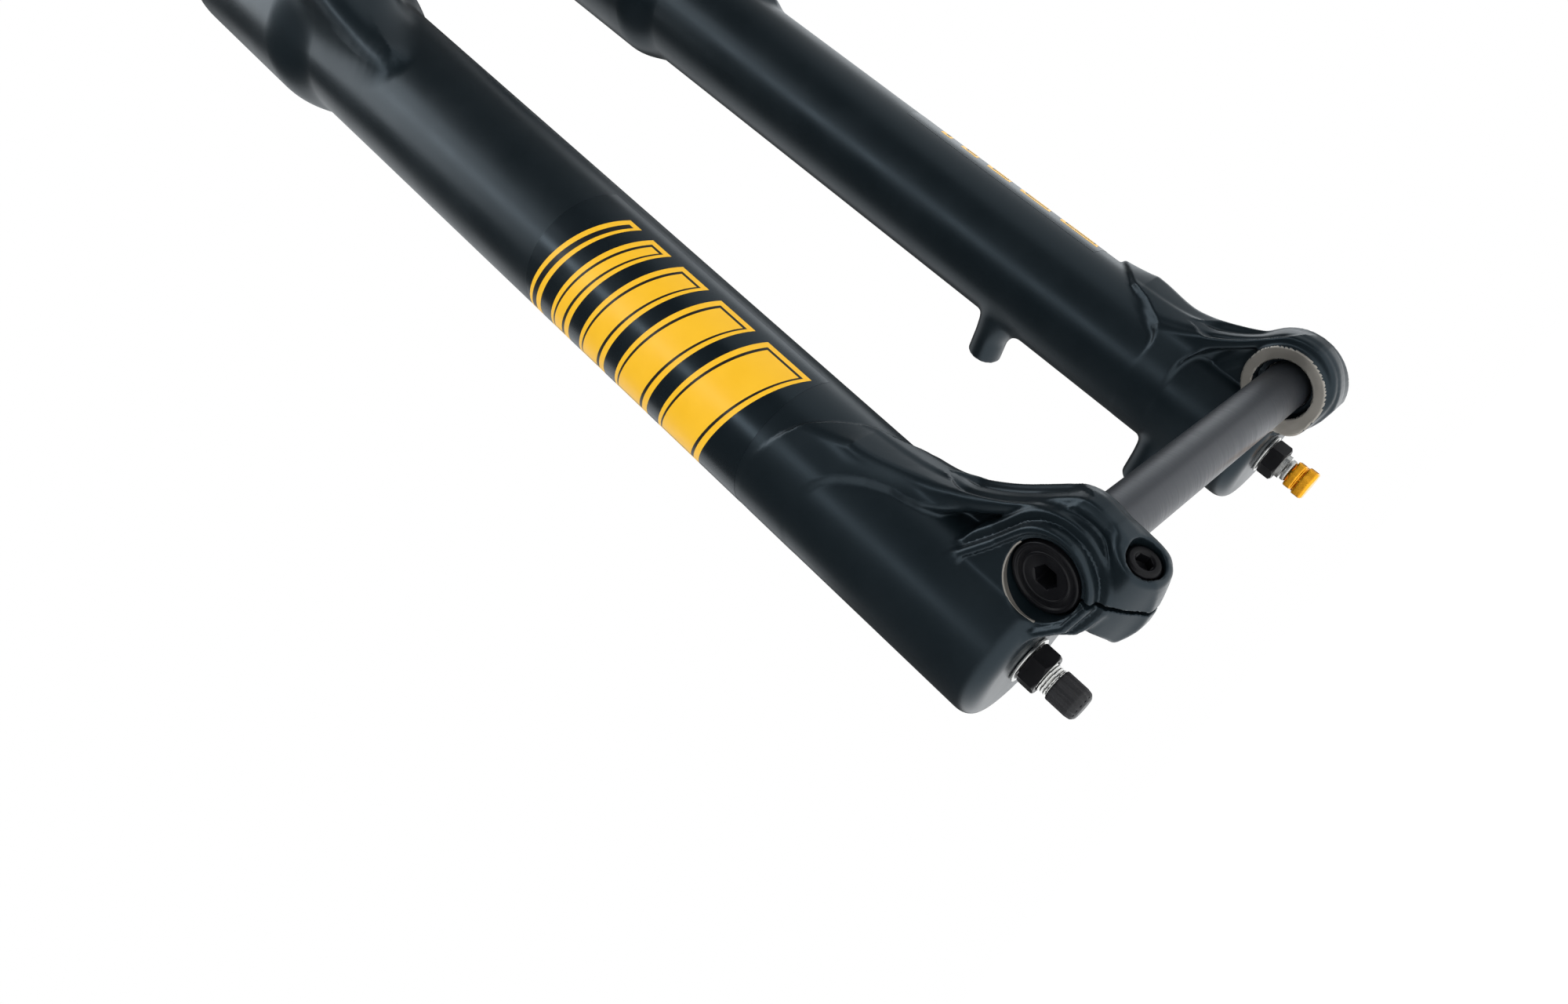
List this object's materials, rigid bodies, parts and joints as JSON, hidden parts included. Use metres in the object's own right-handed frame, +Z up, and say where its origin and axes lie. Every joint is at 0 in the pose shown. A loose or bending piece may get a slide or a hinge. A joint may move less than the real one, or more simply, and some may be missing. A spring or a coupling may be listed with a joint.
{
  "type": "suspension fork",
  "caption": "Telescopic single-crown bicycle suspension fork: black cast lowers with arch, through axle and clamped dropout, sliding on dark stanchions under a tapered steerer.",
  "frame": {"origin": "on the steerer's axis, in the plane of the crown race seat", "axes": "+Z up along the steerer, +X to the rider's left, -Y to the front"},
  "size_m": [0.185, 0.0923, 0.791],
  "materials": {
    "lowers_paint": "satin black paint with a cool sheen, on a light-alloy casting",
    "crown_black": "black anodised forging",
    "steerer_alloy": "dark grey anodised tube",
    "stanchion_coat": "polished dark hard anodising",
    "black_anodised": "black anodised, satin",
    "axle_grey": "dark grey hard anodised, satin",
    "steel": "bright plated steel",
    "bare_alloy": "machined bare alloy",
    "gold_anodised": "gold anodised, bright",
    "black_plastic": "moulded black plastic",
    "seal_rubber": "black seal rubber",
    "bushing_polymer": "grey low-friction lining",
    "foam": "open-cell foam soaked in oil"
  },
  "bodies": {
    "uppers": {"steerer_tube": "steerer_alloy", "crown": "crown_black", "stanchion_left": "stanchion_coat", "stanchion_right": "stanchion_coat", "damper_top_cap": "black_anodised", "damper_cartridge": "bare_alloy", "compression_valve": "bare_alloy", "damper_seal_head": "black_anodised", "air_top_cap": "black_anodised", "valve_stem_top": "steel", "air_seal_head": "black_anodised"},
    "lowers": {"lower_casting": "lowers_paint", "bushing_lower_left": "bushing_polymer", "bushing_lower_right": "bushing_polymer", "bushing_upper_left": "bushing_polymer", "bushing_upper_right": "bushing_polymer", "foam_ring_left": "foam", "foam_ring_right": "foam", "wiper_seal_left": "seal_rubber", "wiper_seal_right": "seal_rubber", "air_shaft": "steel", "air_piston": "black_anodised", "damper_rod": "steel", "damper_piston": "black_anodised", "top_out_bumper_left": "seal_rubber", "top_out_bumper_right": "seal_rubber", "crush_washer_left": "steel", "crush_washer_right": "steel", "foot_nut_left": "black_anodised", "foot_nut_right": "black_anodised", "axle_thread_insert": "bare_alloy", "hose_guide": "black_plastic", "hose_guide_screw": "black_anodised"},
    "wheel_axle": {"axle": "axle_grey"},
    "clamp_bolt": {"pinch_bolt": "black_anodised"},
    "bottom_cap": {"valve_cap_bottom": "black_plastic"},
    "rebound_adjuster": {"rebound_shaft": "steel", "rebound_knob": "gold_anodised"},
    "high_speed_adjuster": {"high_speed_dial": "gold_anodised"},
    "low_speed_adjuster": {"low_speed_dial": "black_anodised"},
    "top_cap": {"valve_cap_top": "black_plastic"},
    "sag_ring": {"travel_ring": "seal_rubber"}
  },
  "joints": [
    {"name": "fork_travel", "type": "slide", "parent": "uppers", "child": "lowers", "axis": [0, 0, 1], "range_m": [0, 0.16], "stiffness_N_per_m": 5000, "springref_m": -0.012},
    {"name": "axle_pull", "type": "slide", "parent": "lowers", "child": "wheel_axle", "axis": [-1, 0, 0], "range_m": [0, 0.142]},
    {"name": "pinch_bolt_turn", "type": "hinge", "parent": "lowers", "child": "clamp_bolt", "pos_m": [-0.0615, -0.0464, -0.5811], "axis": [0, -0.9962, -0.0872], "range_deg": [0, 720]},
    {"name": "bottom_cap_turn", "type": "hinge", "parent": "lowers", "child": "bottom_cap", "pos_m": [-0.0667, -0.0148, -0.587], "axis": [0, 0, 1], "range_deg": [0, 1440]},
    {"name": "rebound_turn", "type": "hinge", "parent": "lowers", "child": "rebound_adjuster", "pos_m": [0.0667, -0.0148, -0.587], "axis": [0, 0, 1], "range_deg": [-270, 270]},
    {"name": "high_speed_turn", "type": "hinge", "parent": "uppers", "child": "high_speed_adjuster", "pos_m": [0.0667, -0.0148, 0], "axis": [0, 0, 1], "range_deg": [0, 270]},
    {"name": "low_speed_turn", "type": "hinge", "parent": "uppers", "child": "low_speed_adjuster", "pos_m": [0.0667, -0.0148, 0], "axis": [0, 0, 1], "range_deg": [-270, 270]},
    {"name": "top_cap_turn", "type": "hinge", "parent": "uppers", "child": "top_cap", "pos_m": [-0.0667, -0.0148, 0.004], "axis": [0, 0, 1], "range_deg": [0, 1440]},
    {"name": "sag_ring_slide", "type": "slide", "parent": "uppers", "child": "sag_ring", "axis": [0, 0, 1], "range_m": [0, 0.16]}
  ],
  "couplings": [
    {"joint": "sag_ring_slide", "follows": "fork_travel", "ratio": 1}
  ]
}
